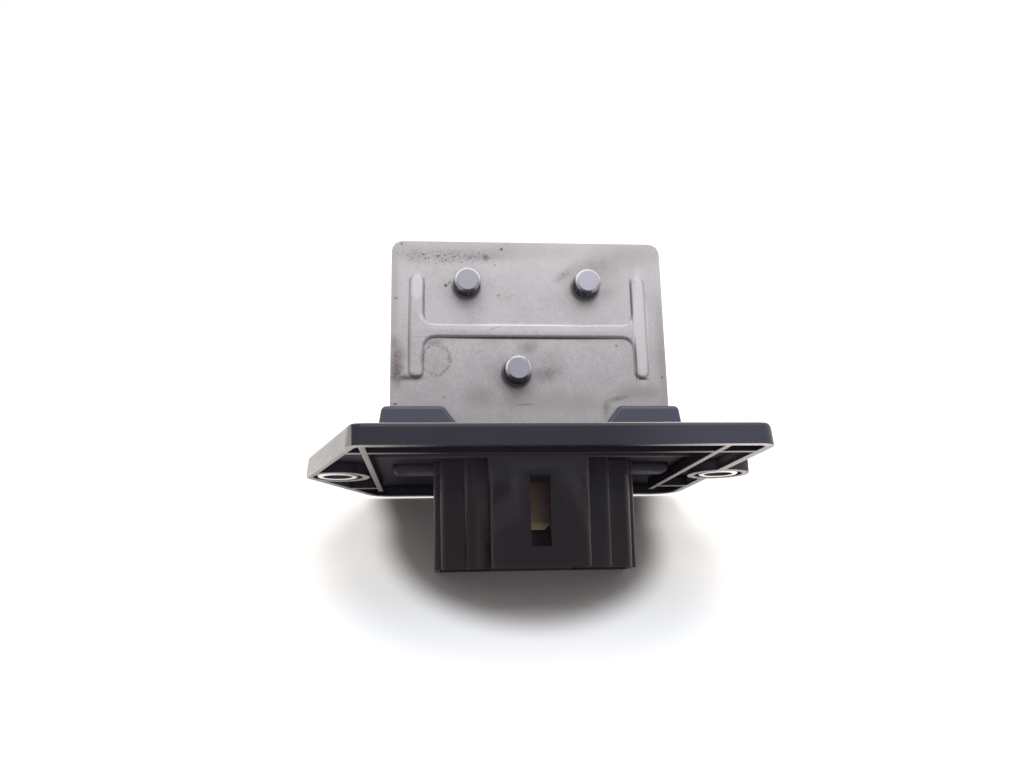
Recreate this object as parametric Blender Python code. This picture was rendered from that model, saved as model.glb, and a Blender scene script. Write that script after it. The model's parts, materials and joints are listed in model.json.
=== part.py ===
# Blower motor resistor: a moulded base with a connector socket below and two riveted heat plates above.
# The frame: X runs between the two fixing screws, +Z runs up the heat plates, -Y is the riveted side.
# The origin lies midway between the two screws, on the flat face that seats on the air duct.

import math

import bmesh
import bpy
from mathutils import Matrix, Vector

MM = 0.001

# Fits and cuts
CLEARANCE = 0.3 * MM
CUT = 1.0 * MM
OVERLAP = 0.4 * MM
MERGE = 0.0005 * MM

# How round forms are divided
ARC_STEP = math.radians(20)
EDGE_TURNS = [math.radians(a) for a in (0, 30, 60, 90)]
ROUND_SEGMENTS = 40
BEND_STEPS = 4
LEAST_ROUND = 0.05 * MM
SMOOTH_ANGLE = math.radians(35)

# Heat plates
PLATE_WIDTH = 50.0 * MM
PLATE_TOP = 40.0 * MM
PLATE_THICKNESS = 1.0 * MM
PLATE_CORNER = 2.0 * MM

# Stiffening bead pressed into the front plate, in the shape of a wide H
BEAD_WIDTH = 2.8 * MM
BEAD_HEIGHT = 0.6 * MM
BEAD_SIDE_MARGIN = 4.6 * MM
BEAD_TOP_MARGIN = 6.5 * MM
BEAD_LEG_FOOT = 13.7 * MM
BEAD_BAR_Z = 22.7 * MM
BEAD_FILLET = 2.0 * MM
BEAD_END_ROUND = 1.33 * MM

# The bead's side as (inset, height), in shares of its half width and of its height
BEAD_SIDE = ((0.0, 0.0), (0.12, 0.45), (0.25, 0.8), (0.45, 1.0))

# Rivets, as places on the plates (X, Z)
RIVETS = {
    "rivet_upper_left": (-11.2 * MM, 31.5 * MM),
    "rivet_upper_right": (10.8 * MM, 31.5 * MM),
    "rivet_lower": (-2.3 * MM, 15.0 * MM),
}
RIVET_HEAD_DIAMETER = 4.4 * MM
RIVET_STAND = 3.0 * MM
RIVET_CHAMFER = 0.45 * MM
RIVET_SHANK_DIAMETER = 3.0 * MM
RIVET_TAIL_DIAMETER = 5.2 * MM
RIVET_TAIL_HEIGHT = 1.1 * MM
RIVET_TAIL_TURNS = [math.radians(a) for a in (65, 40, 15, 0)]

# Insulating sheets and the stamped resistance grid between them
MICA_THICKNESS = 0.4 * MM
MICA_MARGIN = 2.5 * MM
STRIP_THICKNESS = 0.3 * MM
STRIP_WIDTH = 2.0 * MM
STRIP_PAIRS = 6
STRIP_TOP_MARGIN = 3.5 * MM
STRIP_FOOT = 6.0 * MM
BUS_FOOT = 2.4 * MM
TAB_WIDTH = 1.6 * MM
RIVET_INSULATION = 0.8 * MM

# Terminal blades
TERMINAL_COUNT = 3
TERMINAL_PITCH = 10.5 * MM
BLADE_WIDTH = 6.3 * MM
BLADE_THICKNESS = 0.8 * MM
BLADE_TIP_Z = -13.0 * MM
BLADE_CHAMFER = 1.1 * MM
BLADE_BEVEL = 0.25 * MM
SHOULDER_WIDTH = 7.3 * MM
SHOULDER_HEIGHT = 0.6 * MM
NECK_WIDTH = 3.6 * MM
NECK_THICKNESS = 0.6 * MM
NECK_TOP = 0.5 * MM
JOGGLE_RISE = 0.7 * MM

# Flange, an open tray under a flat web
LEFT_END_INSET = 4.5 * MM
RIGHT_END_INSET = 0.45 * MM
FLANGE_FRONT = -31.0 * MM
FLANGE_BACK = 28.5 * MM
FLANGE_DEPTH = 3.5 * MM
FLANGE_DRAFT = 0.25 * MM
FLANGE_EDGE = 0.7 * MM
WEB_THICKNESS = 1.6 * MM
WALL = 1.3 * MM
FRONT_LEFT_ROUND = 2.6 * MM
FRONT_RIGHT_ROUND = 2.8 * MM
BACK_ROUND = 5.0 * MM

# Ribs under the web: two run front to back, one spans the front, and one stands outside the two at the rear
RIB_THICKNESS = 0.9 * MM
LEFT_RIB_INSET = 1.8 * MM
RIGHT_RIB_INSET = 7.25 * MM
CROSS_RIB_END = 19.5 * MM
FRONT_RIB_Y = -24.2 * MM
REAR_RIB_Y = 15.3 * MM
LOW_RIB_DEPTH = 2.1 * MM

# Screw bosses and their steel bushings
SCREW_PITCH = 67.7 * MM
BUSHING_DIAMETER = 7.0 * MM
BUSHING_BORE = 4.9 * MM
BUSHING_CHAMFER = 0.2 * MM
RELIEF_WIDTH = 0.8 * MM
RELIEF_DEPTH = 1.0 * MM
BOSS_WALL = 1.15 * MM

# Seat block and the ears that clasp the plates' side edges
SEAT_TOP = 2.2 * MM
SEAT_REAR = 6.6 * MM
SEAT_MARGIN = 0.6 * MM
SEAT_ROUND = 1.5 * MM
SEAT_EDGE = 0.4 * MM
SLOT_FLOOR = 0.7 * MM
EAR_TOP = 8.45 * MM
EAR_WALL = 1.75 * MM
EAR_GRIP = 9.4 * MM
EAR_END_WALL = 1.35 * MM
EAR_INNER_SPREAD = 5.9 * MM
EAR_OUTER_SPREAD = 1.1 * MM
EAR_ROUND = 1.0 * MM
EAR_EDGE = 0.8 * MM
REAR_EAR_GRIP = 3.6 * MM

# Well below the plates, which holds the foot of the grid and the terminal necks
WELL_END_INSET = 0.6 * MM
WELL_BOTTOM = -3.15 * MM
WELL_WALL = 1.3 * MM
WELL_ROUND = 1.1 * MM
HEADER_TOP = -3.1 * MM
HEADER_THICKNESS = 1.5 * MM

# Connector shroud. Its front steps out to the latch bay: a step is an inset from the side and its face
SHROUD_SIDE_ROOM = 2.2 * MM
SHROUD_STEPS = (
    (0, -4.45 * MM),
    (1.1 * MM, -6.45 * MM),
    (5.0 * MM, -8.85 * MM),
    (9.0 * MM, -12.4 * MM),
)
SHROUD_BACK = 5.4 * MM
SHROUD_MOUTH = -19.8 * MM
SHROUD_WALL = 1.3 * MM
SHROUD_ROUND = 0.8 * MM
SHROUD_DRAFT = 0.2 * MM
MOUTH_FLARE = 0.4 * MM
WINDOW_WIDTH = 3.25 * MM
WINDOW_TOP = -5.1 * MM
WINDOW_FOOT = -16.6 * MM

# Thermal fuse, upright behind the rear plate, with one lead folded back down
FUSE_DIAMETER = 4.0 * MM
FUSE_LENGTH = 9.0 * MM
FUSE_ROUND = 0.5 * MM
FUSE_LEAD_DIAMETER = 0.7 * MM
FUSE_LEAD_ENTRY = 1.0 * MM
FUSE_LEAD_FOLD = 6.55 * MM
FUSE_LOOP_RISE = 3.6 * MM
FUSE_LOOP_BEND = 2.2 * MM
LEAD_BEND = 0.8 * MM
LEAD_Z = -0.3 * MM
CUP_WALL = 1.1 * MM
CUP_HEIGHT = 3.2 * MM

# Sizes and places across the part
RELIEF_DIAMETER = BUSHING_DIAMETER + 2 * RELIEF_WIDTH
BOSS_DIAMETER = RELIEF_DIAMETER + 2 * BOSS_WALL
BOSSES_X = (-SCREW_PITCH / 2, SCREW_PITCH / 2)
FLANGE_LEFT = BOSSES_X[0] + LEFT_END_INSET
FLANGE_RIGHT = BOSSES_X[1] - RIGHT_END_INSET
CROSS_RIBS_X = (FLANGE_LEFT + LEFT_RIB_INSET, FLANGE_RIGHT - RIGHT_RIB_INSET)
PLATE_SIDE = PLATE_WIDTH / 2
BEAD_LEG_X = PLATE_SIDE - BEAD_SIDE_MARGIN
EAR_TOP_INNER = PLATE_SIDE - EAR_GRIP
EAR_TOP_OUTER = PLATE_SIDE + EAR_END_WALL
REAR_EAR_INNER = PLATE_SIDE - REAR_EAR_GRIP
WELL_HALF_LENGTH = PLATE_SIDE - WELL_END_INSET
TERMINALS_X = [(i - (TERMINAL_COUNT - 1) / 2) * TERMINAL_PITCH for i in range(TERMINAL_COUNT)]
SHROUD_HALF_WIDTH = TERMINALS_X[-1] + BLADE_WIDTH / 2 + SHROUD_SIDE_ROOM + SHROUD_WALL
FUSE_X = TERMINALS_X[-1] + FUSE_LEAD_FOLD
STRIP_PITCH = FUSE_X / (STRIP_PAIRS - 0.5)

# Levels in the stack of plates, measured out from its middle plane
MICA_INNER = STRIP_THICKNESS / 2 + CLEARANCE
MICA_OUTER = MICA_INNER + MICA_THICKNESS
PLATE_INNER = MICA_OUTER + CLEARANCE
PLATE_OUTER = PLATE_INNER + PLATE_THICKNESS
PLATE_FOOT = SLOT_FLOOR + CLEARANCE
NECK_INNER = MICA_INNER
NECK_OUTER = NECK_INNER + NECK_THICKNESS
SLOT_HALF = PLATE_OUTER + CLEARANCE
EAR_OUTER = SLOT_HALF + EAR_WALL
WELL_FRONT = MICA_OUTER + CLEARANCE
WELL_REAR = NECK_OUTER + CLEARANCE
FUSE_Y = PLATE_OUTER + CLEARANCE + FUSE_DIAMETER / 2
FUSE_FOOT = SEAT_TOP + CLEARANCE
SOCKET_CEILING = HEADER_TOP - HEADER_THICKNESS
SHOULDER_FOOT = HEADER_TOP + CLEARANCE
JOGGLE_FOOT = SHOULDER_FOOT + SHOULDER_HEIGHT
JOGGLE_TOP = JOGGLE_FOOT + JOGGLE_RISE
TAB_FOOT = JOGGLE_TOP + CLEARANCE
BEAD_LEG_TOP = PLATE_TOP - BEAD_TOP_MARGIN


def offset_corners(corners, distance):
    # Moves every edge of an anticlockwise outline outward by the distance, with its rounds.
    moved = []
    for index, (x, y, radius) in enumerate(corners):
        before = Vector(corners[index - 1][:2])
        here = Vector((x, y))
        after = Vector(corners[(index + 1) % len(corners)][:2])
        way_in = (here - before).normalized()
        way_out = (after - here).normalized()
        normal_in = Vector((way_in.y, -way_in.x))
        normal_out = Vector((way_out.y, -way_out.x))
        mitre = (normal_in + normal_out) / (1 + normal_in.dot(normal_out))
        turn = way_in.cross(way_out)
        grown = radius + distance if turn > 0 else radius - distance
        place = here + mitre * distance
        moved.append((place.x, place.y, max(grown, LEAST_ROUND) if radius > 0 else 0.0))
    return moved


def rounded(corners, distance=0.0):
    # Turns corners (x, y, radius) into points, with an arc at each corner that has a radius.
    corners = offset_corners(corners, distance)
    points = []
    for index, (x, y, radius) in enumerate(corners):
        here = Vector((x, y))
        if radius == 0:
            points.append(here)
            continue
        way_in = (here - Vector(corners[index - 1][:2])).normalized()
        way_out = (Vector(corners[(index + 1) % len(corners)][:2]) - here).normalized()
        turn = math.atan2(way_in.cross(way_out), way_in.dot(way_out))
        start = here - way_in * radius * math.tan(abs(turn) / 2)
        centre = start + Vector((-way_in.y, way_in.x)) * math.copysign(radius, turn)
        steps = max(1, round(abs(turn) / ARC_STEP))
        for step in range(steps + 1):
            points.append(centre + Matrix.Rotation(turn * step / steps, 2) @ (start - centre))
    return points


def turned_plane(plane, u, v, w):
    # Places outline coordinates u, v and depth w in space: XZ depths run toward -Y, YZ depths toward +X.
    return {"XY": (u, v, w), "XZ": (u, -w, v), "YZ": (w, u, v)}[plane]


def new_object(name, data):
    made = bpy.data.objects.new(name, data)
    bpy.context.scene.collection.objects.link(made)
    return made


def finished(name, shape):
    # Closes a bmesh into a named object with its faces pointing out.
    bmesh.ops.remove_doubles(shape, verts=shape.verts, dist=MERGE)
    bmesh.ops.recalc_face_normals(shape, faces=shape.faces)
    mesh = bpy.data.meshes.new(name)
    shape.to_mesh(mesh)
    shape.free()
    return new_object(name, mesh)


def loft(name, rings, plane="XY"):
    # Skins a list of (outline points, depth) and caps both ends.
    shape = bmesh.new()
    loops = []
    for outline, depth in rings:
        loops.append([shape.verts.new(turned_plane(plane, p[0], p[1], depth)) for p in outline])
    count = len(loops[0])
    for lower, upper in zip(loops, loops[1:]):
        for i in range(count):
            shape.faces.new((lower[i], lower[(i + 1) % count], upper[(i + 1) % count], upper[i]))
    shape.faces.new(reversed(loops[0]))
    shape.faces.new(loops[-1])
    return finished(name, shape)


def prism(name, corners, low, high, plane="XY"):
    outline = rounded(corners)
    return loft(name, [(outline, low), (outline, high)], plane)


def soft_prism(name, corners, low, high, edge, plane="XY", draft=0.0):
    # A prism whose edge at the high end is rounded by the edge radius; edge is negative for the low end.
    # The draft draws in the high end of a prism that is rounded there.
    radius = abs(edge)
    bend = [(radius * (math.cos(t) - 1), radius * (1 - math.sin(t))) for t in EDGE_TURNS]
    if edge > 0:
        rings = [(rounded(corners), low)]
        rings += [(rounded(corners, inset - draft), high - drop) for inset, drop in bend]
    else:
        rings = [(rounded(corners, inset), low + drop) for inset, drop in reversed(bend)]
        rings.append((rounded(corners), high))
    return loft(name, rings, plane)


def box_corners(left, right, low, high, radius=0.0):
    return [(left, low, radius), (right, low, radius), (right, high, radius), (left, high, radius)]


def box(name, x_range, y_range, z_range):
    return prism(name, box_corners(*x_range, *y_range), *z_range)


def turned(name, profile, hollow=False):
    # Turns a profile of (radius, height) about Z. A hollow profile is a closed loop off the axis.
    shape = bmesh.new()
    rings = []
    for radius, height in profile:
        if radius == 0:
            rings.append([shape.verts.new((0, 0, height))])
            continue
        angles = [2 * math.pi * i / ROUND_SEGMENTS for i in range(ROUND_SEGMENTS)]
        rings.append([shape.verts.new((radius * math.cos(a), radius * math.sin(a), height)) for a in angles])
    pairs = list(zip(rings, rings[1:]))
    if hollow:
        pairs.append((rings[-1], rings[0]))
    for lower, upper in pairs:
        for i in range(ROUND_SEGMENTS):
            corners = [lower[i % len(lower)], lower[(i + 1) % len(lower)]]
            corners += [upper[(i + 1) % len(upper)], upper[i % len(upper)]]
            shape.faces.new(list(dict.fromkeys(corners)))
    return finished(name, shape)


def cylinder(name, place, diameter, low, high, edge=0.0):
    # A round bar along Z, with a chamfer round its top where the edge is above 0.
    radius = diameter / 2
    rim = [(radius, high - edge), (radius - edge, high)] if edge > 0 else [(radius, high)]
    made = turned(name, [(0, low), (radius, low), *rim, (0, high)])
    made.data.transform(Matrix.Translation((*place, 0)))
    return made


def combine(target, operation, tools):
    # Unites, cuts or intersects the target with each tool in turn, then deletes the tool.
    for tool in tools:
        modifier = target.modifiers.new(operation, "BOOLEAN")
        modifier.operation = operation
        modifier.solver = "EXACT"
        modifier.object = tool
        graph = bpy.context.evaluated_depsgraph_get()
        result = bpy.data.meshes.new_from_object(target.evaluated_get(graph))
        target.modifiers.clear()
        bpy.data.objects.remove(tool)
        shape = bmesh.new()
        shape.from_mesh(result)
        bmesh.ops.remove_doubles(shape, verts=shape.verts, dist=MERGE)
        bmesh.ops.dissolve_degenerate(shape, edges=shape.edges, dist=MERGE)
        shape.to_mesh(result)
        shape.free()
        target.data = result
    return target


def unite(target, *tools):
    return combine(target, "UNION", tools)


def cut(target, *tools):
    return combine(target, "DIFFERENCE", tools)


def keep_common(target, *tools):
    return combine(target, "INTERSECT", tools)


def smooth(target):
    target.data.shade_smooth()
    target.data.set_sharp_from_angle(angle=SMOOTH_ANGLE)


def material(name, colour, roughness, metallic=0.0):
    made = bpy.data.materials.new(name)
    made.use_nodes = True
    surface = made.node_tree.nodes["Principled BSDF"]
    surface.inputs["Base Color"].default_value = (*colour, 1)
    surface.inputs["Roughness"].default_value = roughness
    surface.inputs["Metallic"].default_value = metallic
    return made


def tangent_way(start, centre, radius, side):
    # The direction from a point to the tangent of a circle, on the side given as 1 or -1.
    gap = centre - start
    angle = math.atan2(gap.y, gap.x) + side * math.asin(radius / gap.length)
    return Vector((math.cos(angle), math.sin(angle)))


def flange_corners():
    # Straight walls on three sides, and a left end whose two walls run tangent to the screw boss.
    front = Vector((FLANGE_LEFT, FLANGE_FRONT))
    back = Vector((FLANGE_LEFT, FLANGE_BACK))
    boss = Vector((BOSSES_X[0], 0))
    front_way = tangent_way(front, boss, BOSS_DIAMETER / 2, 1)
    back_way = tangent_way(back, boss, BOSS_DIAMETER / 2, -1)
    reach = (back - front).cross(back_way) / front_way.cross(back_way)
    tip = front + front_way * reach
    return [
        (front.x, front.y, FRONT_LEFT_ROUND),
        (FLANGE_RIGHT, FLANGE_FRONT, FRONT_RIGHT_ROUND),
        (FLANGE_RIGHT, FLANGE_BACK, BACK_ROUND),
        (back.x, back.y, BACK_ROUND),
        (tip.x, tip.y, BOSS_DIAMETER / 2),
    ]


def tray_hollow():
    # The space under the web, less the ribs and bosses that stand in it.
    low = -FLANGE_DEPTH - CUT
    outline = rounded(flange_corners(), -WALL)
    hollow = loft("tray_hollow", [(outline, low), (outline, -WEB_THICKNESS)])
    half = RIB_THICKNESS / 2
    ends = (2 * BOSSES_X[0], 2 * BOSSES_X[1])
    span_y = (2 * FLANGE_FRONT, CROSS_RIB_END)
    span_z = (low - CUT, 0)
    left_out = [box("cross_rib", (x - half, x + half), span_y, span_z) for x in CROSS_RIBS_X]
    left_out.append(box("front_rib", ends, (FRONT_RIB_Y - half, FRONT_RIB_Y + half), span_z))
    rear_y = (REAR_RIB_Y - half, REAR_RIB_Y + half)
    left_out.append(box("rear_rib", (ends[0], CROSS_RIBS_X[0]), rear_y, span_z))
    left_out.append(box("rear_rib", (CROSS_RIBS_X[1], ends[1]), rear_y, span_z))
    left_out += [cylinder("boss", (x, 0), BOSS_DIAMETER, *span_z) for x in BOSSES_X]
    return cut(hollow, *left_out)


def add_tray():
    tray = soft_prism("base_housing", flange_corners(), -FLANGE_DEPTH, 0, FLANGE_EDGE, draft=FLANGE_DRAFT)
    right_boss = (BOSSES_X[1], 0)
    unite(tray, cylinder("right_boss", right_boss, BOSS_DIAMETER, -FLANGE_DEPTH, 0, FLANGE_EDGE))
    cut(tray, tray_hollow())
    front = SHROUD_STEPS[-1][1]
    heights = (-LOW_RIB_DEPTH, OVERLAP - WEB_THICKNESS)
    return unite(tray, box("low_rib", CROSS_RIBS_X, (front, front + RIB_THICKNESS), heights))


def add_seat(base):
    half_x = EAR_TOP_OUTER + EAR_OUTER_SPREAD + SEAT_MARGIN
    corners = box_corners(-half_x, half_x, -EAR_OUTER - SEAT_MARGIN, SEAT_REAR, SEAT_ROUND)
    unite(base, soft_prism("seat", corners, -OVERLAP, SEAT_TOP, SEAT_EDGE))
    cup_diameter = FUSE_DIAMETER + 2 * CLEARANCE + 2 * CUP_WALL
    cup = cylinder("cup", (FUSE_X, FUSE_Y), cup_diameter, -OVERLAP, SEAT_TOP + CUP_HEIGHT, SEAT_EDGE)
    unite(base, cup, ear(-1), ear(1))
    slot_x = (-PLATE_SIDE - CLEARANCE, PLATE_SIDE + CLEARANCE)
    cut(base, box("slot", slot_x, (-SLOT_HALF, SLOT_HALF), (SLOT_FLOOR, EAR_TOP + CUT)))
    bore_diameter = FUSE_DIAMETER + 2 * CLEARANCE
    bore_top = max(SEAT_TOP + CUP_HEIGHT, EAR_TOP) + CUT
    cut(base, cylinder("bore", (FUSE_X, FUSE_Y), bore_diameter, SEAT_TOP, bore_top))


def ear(side):
    # One clasp: its front view is a leaning block, its plan a long front lug and a short rear one.
    inner_foot = EAR_TOP_INNER - EAR_INNER_SPREAD
    outer_foot = EAR_TOP_OUTER + EAR_OUTER_SPREAD
    front_view = [
        (inner_foot, SLOT_FLOOR, 0),
        (outer_foot, SLOT_FLOOR, 0),
        (EAR_TOP_OUTER, EAR_TOP, EAR_ROUND),
        (EAR_TOP_INNER, EAR_TOP, EAR_ROUND),
    ]
    plan = [
        (inner_foot - CUT, -EAR_OUTER - CUT, 0),
        (outer_foot + CUT, -EAR_OUTER - CUT, 0),
        (outer_foot + CUT, EAR_OUTER, 0),
        (REAR_EAR_INNER, EAR_OUTER, 0),
        (REAR_EAR_INNER, 0, 0),
        (inner_foot - CUT, 0, 0),
    ]
    made = soft_prism("ear", front_view, -EAR_OUTER - CUT, EAR_OUTER, EAR_EDGE, "XZ")
    keep_common(made, prism("ear_plan", plan, 0, EAR_TOP + CUT))
    if side < 0:
        made.data.transform(Matrix.Diagonal((-1, 1, 1, 1)))
        made.data.flip_normals()
    return made


def shroud_corners():
    # Half of the stepped front, from the latch bay out to the side, then its mirror image.
    right_half = []
    for (inset, front), (_, next_front) in zip(SHROUD_STEPS[::-1], SHROUD_STEPS[-2::-1]):
        right_half.append((SHROUD_HALF_WIDTH - inset, front, SHROUD_ROUND))
        right_half.append((SHROUD_HALF_WIDTH - inset, next_front, 0))
    side, side_front = SHROUD_HALF_WIDTH, SHROUD_STEPS[0][1]
    right_half += [(side, side_front, SHROUD_ROUND), (side, SHROUD_BACK, SHROUD_ROUND)]
    left_half = [(-x, y, radius) for x, y, radius in reversed(right_half)]
    return right_half + left_half


def add_shroud(base):
    root = -WEB_THICKNESS + OVERLAP
    corners = shroud_corners()
    shroud = loft("shroud", [(rounded(corners), SHROUD_MOUTH), (rounded(corners, SHROUD_DRAFT), root)])
    inner = rounded(corners, -SHROUD_WALL)
    flared = rounded(corners, MOUTH_FLARE - SHROUD_WALL)
    past_mouth = SHROUD_MOUTH - CUT
    socket = loft("socket", [
        (flared, past_mouth), (flared, SHROUD_MOUTH + MOUTH_FLARE / 2),
        (inner, SHROUD_MOUTH + 2 * MOUTH_FLARE), (inner, SOCKET_CEILING),
    ])
    well_y = (-WELL_FRONT - WELL_WALL, WELL_REAR + WELL_WALL)
    well = box_corners(-WELL_HALF_LENGTH, WELL_HALF_LENGTH, *well_y, WELL_ROUND)
    unite(base, soft_prism("well", well, WELL_BOTTOM, root, -WELL_ROUND), shroud)
    cut(base, socket)
    front = SHROUD_STEPS[-1][1]
    half = WINDOW_WIDTH / 2
    window_y = (front - CUT, front + 2 * SHROUD_WALL)
    cut(base, box("window", (-half, half), window_y, (WINDOW_FOOT, WINDOW_TOP)))


def cut_terminal_well(base):
    well = WELL_HALF_LENGTH - WELL_WALL
    well_floor = WELL_BOTTOM + WELL_WALL
    trench = TERMINALS_X[-1] + SHOULDER_WIDTH / 2 + CLEARANCE
    top = SLOT_FLOOR + CUT
    corners = [
        (-trench, HEADER_TOP, 0), (trench, HEADER_TOP, 0), (trench, well_floor, 0), (well, well_floor, 0),
        (well, top, 0), (-well, top, 0), (-well, well_floor, 0), (-trench, well_floor, 0),
    ]
    cut(base, prism("well_space", corners, -WELL_REAR, WELL_FRONT, "XZ"))
    half_width = BLADE_WIDTH / 2 + CLEARANCE
    half_depth = BLADE_THICKNESS / 2 + CLEARANCE
    for x in TERMINALS_X:
        span = (x - half_width, x + half_width)
        heights = (SOCKET_CEILING - CUT, HEADER_TOP + CUT)
        cut(base, box("blade_slot", span, (-half_depth, half_depth), heights))


def cut_lead_channels(base):
    # Channels in the seat that bring the two fuse leads forward into the well.
    half = FUSE_LEAD_DIAMETER / 2 + CLEARANCE
    for x in (TERMINALS_X[-1], FUSE_X):
        cut(base, box("channel", (x - half, x + half), (0, FUSE_Y + half), (LEAD_Z - half, SEAT_TOP + CUT)))


def cut_screw_bores(base):
    low = -FLANGE_DEPTH - CUT
    for x in BOSSES_X:
        bore = cylinder("bore", (x, 0), BUSHING_DIAMETER + 2 * CLEARANCE, low, CUT)
        relief = cylinder("relief", (x, 0), RELIEF_DIAMETER, low, RELIEF_DEPTH - FLANGE_DEPTH)
        cut(base, bore, relief)


def make_base():
    base = add_tray()
    add_seat(base)
    add_shroud(base)
    cut_terminal_well(base)
    cut_lead_channels(base)
    cut_screw_bores(base)
    smooth(base)
    return base


def bead_corners():
    half = BEAD_WIDTH / 2
    end = min(BEAD_END_ROUND, half)
    left, right = -BEAD_LEG_X, BEAD_LEG_X
    low, high = BEAD_BAR_Z - half, BEAD_BAR_Z + half
    return [
        (left - half, BEAD_LEG_FOOT, end), (left + half, BEAD_LEG_FOOT, end),
        (left + half, low, BEAD_FILLET), (right - half, low, BEAD_FILLET),
        (right - half, BEAD_LEG_FOOT, end), (right + half, BEAD_LEG_FOOT, end),
        (right + half, BEAD_LEG_TOP, end), (right - half, BEAD_LEG_TOP, end),
        (right - half, high, BEAD_FILLET), (left + half, high, BEAD_FILLET),
        (left + half, BEAD_LEG_TOP, end), (left - half, BEAD_LEG_TOP, end),
    ]


def bead(name, face, foot_inset, start):
    # The bead as a solid that rises from a plate's face: leaning sides, then a softly rounded crown.
    rings = [(rounded(bead_corners(), -foot_inset), start)]
    for inset, height in BEAD_SIDE:
        inset = foot_inset + inset * BEAD_WIDTH / 2
        rings.append((rounded(bead_corners(), -inset), face + height * BEAD_HEIGHT))
    return loft(name, rings, "XZ")


def rivet_holes(inner, outer, clearance):
    made = []
    for x, z in RIVETS.values():
        hole = cylinder("hole", (0, 0), RIVET_SHANK_DIAMETER + 2 * clearance, inner - CUT, outer + CUT)
        hole.data.transform(Matrix.Translation((x, 0, z)) @ Matrix.Rotation(math.radians(90), 4, "X"))
        made.append(hole)
    return made


def sheet(name, half_width, foot, top, corner, inner, outer, clearance):
    # A flat sheet of the stack, between two levels toward the front, with its rivet holes.
    corners = box_corners(-half_width, half_width, foot, top, corner)
    made = prism(name, corners, inner, outer, "XZ")
    return cut(made, *rivet_holes(inner, outer, clearance))


def make_plates():
    size = (PLATE_SIDE, PLATE_FOOT, PLATE_TOP, PLATE_CORNER)
    rear = sheet("heat_plate_rear", *size, -PLATE_OUTER, -PLATE_INNER, CLEARANCE)
    front = sheet("heat_plate_front", *size, PLATE_INNER, PLATE_OUTER, CLEARANCE)
    unite(front, bead("bead", PLATE_OUTER, 0, PLATE_OUTER - PLATE_THICKNESS / 2))
    groove_inset = BEAD_HEIGHT / 2
    cut(front, bead("groove", PLATE_INNER, groove_inset, PLATE_INNER - CUT))
    smooth(front)
    smooth(rear)
    return front, rear


def make_mica():
    size = (PLATE_SIDE - MICA_MARGIN, PLATE_FOOT, PLATE_TOP - MICA_MARGIN / 2, PLATE_CORNER / 2)
    front = sheet("mica_sheet_front", *size, MICA_INNER, MICA_OUTER, CLEARANCE)
    rear = sheet("mica_sheet_rear", *size, -MICA_OUTER, -MICA_INNER, CLEARANCE)
    return front, rear


def clear_level(left, right, level, side):
    # Keeps a strip's turn clear of each rivet: the upper turns come down below it, the lower ones go above.
    reach = RIVET_SHANK_DIAMETER / 2 + RIVET_INSULATION
    for x, z in RIVETS.values():
        inside = left - STRIP_WIDTH / 2 < x + reach and right + STRIP_WIDTH / 2 > x - reach
        if inside and side > 0 and z > PLATE_TOP / 2:
            level = min(level, z - reach - STRIP_WIDTH / 2)
        if inside and side < 0 and z < PLATE_TOP / 2:
            level = max(level, z + reach + STRIP_WIDTH / 2)
    return level


def grid_path():
    # The middle line of the strip, from the first terminal up and down to the fuse's end.
    top = PLATE_TOP - STRIP_TOP_MARGIN
    columns = [(i + 0.5 - STRIP_PAIRS) * STRIP_PITCH for i in range(2 * STRIP_PAIRS)]
    path = [(TERMINALS_X[0], TAB_FOOT), (TERMINALS_X[0], BUS_FOOT), (columns[0], BUS_FOOT)]
    taps = {}
    for i in range(0, len(columns), 2):
        left, right = columns[i], columns[i + 1]
        level = clear_level(left, right, top, 1)
        path += [(left, level), (right, level)]
        if i + 2 == len(columns):
            break
        after = columns[i + 2]
        level = clear_level(right, after, STRIP_FOOT, -1)
        path.append((right, level))
        for x in TERMINALS_X[1:-1]:
            if right < x < after:
                taps[len(path) - 1] = (after, x)
        path.append((after, level))
    return path + [(columns[-1], TAB_FOOT)], taps


def tap_points(run, foot, level):
    # A tap leaves the strip's lower edge at one X, steps sideways and ends over its terminal.
    half = TAB_WIDTH / 2
    return [
        (run - half, level), (run - half, BUS_FOOT + half), (foot - half, BUS_FOOT + half),
        (foot - half, TAB_FOOT), (foot + half, TAB_FOOT), (foot + half, BUS_FOOT - half),
        (run + half, BUS_FOOT - half), (run + half, level),
    ]


def make_grid():
    path, taps = grid_path()
    half = STRIP_WIDTH / 2
    left_side, right_side = [], []
    for i, (x, z) in enumerate(path):
        before = Vector(path[max(i - 1, 0)])
        after = Vector(path[min(i + 1, len(path) - 1)])
        here = Vector((x, z))
        ways = [w.normalized() for w in (here - before, after - here) if w.length > 0]
        mitre = sum(([Vector((-w.y, w.x)) for w in ways]), Vector((0, 0)))
        mitre = mitre if len(ways) > 1 else mitre.normalized()
        left_side.append(here + mitre * half)
        right_side.append(here - mitre * half)
        if i in taps:
            run, foot = taps[i]
            right_side += [Vector(p) for p in tap_points(run, foot, z - half)]
    outline = right_side + left_side[::-1]
    depth = STRIP_THICKNESS / 2
    return loft("resistance_grid", [(outline, -depth), (outline, depth)], "XZ")


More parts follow.
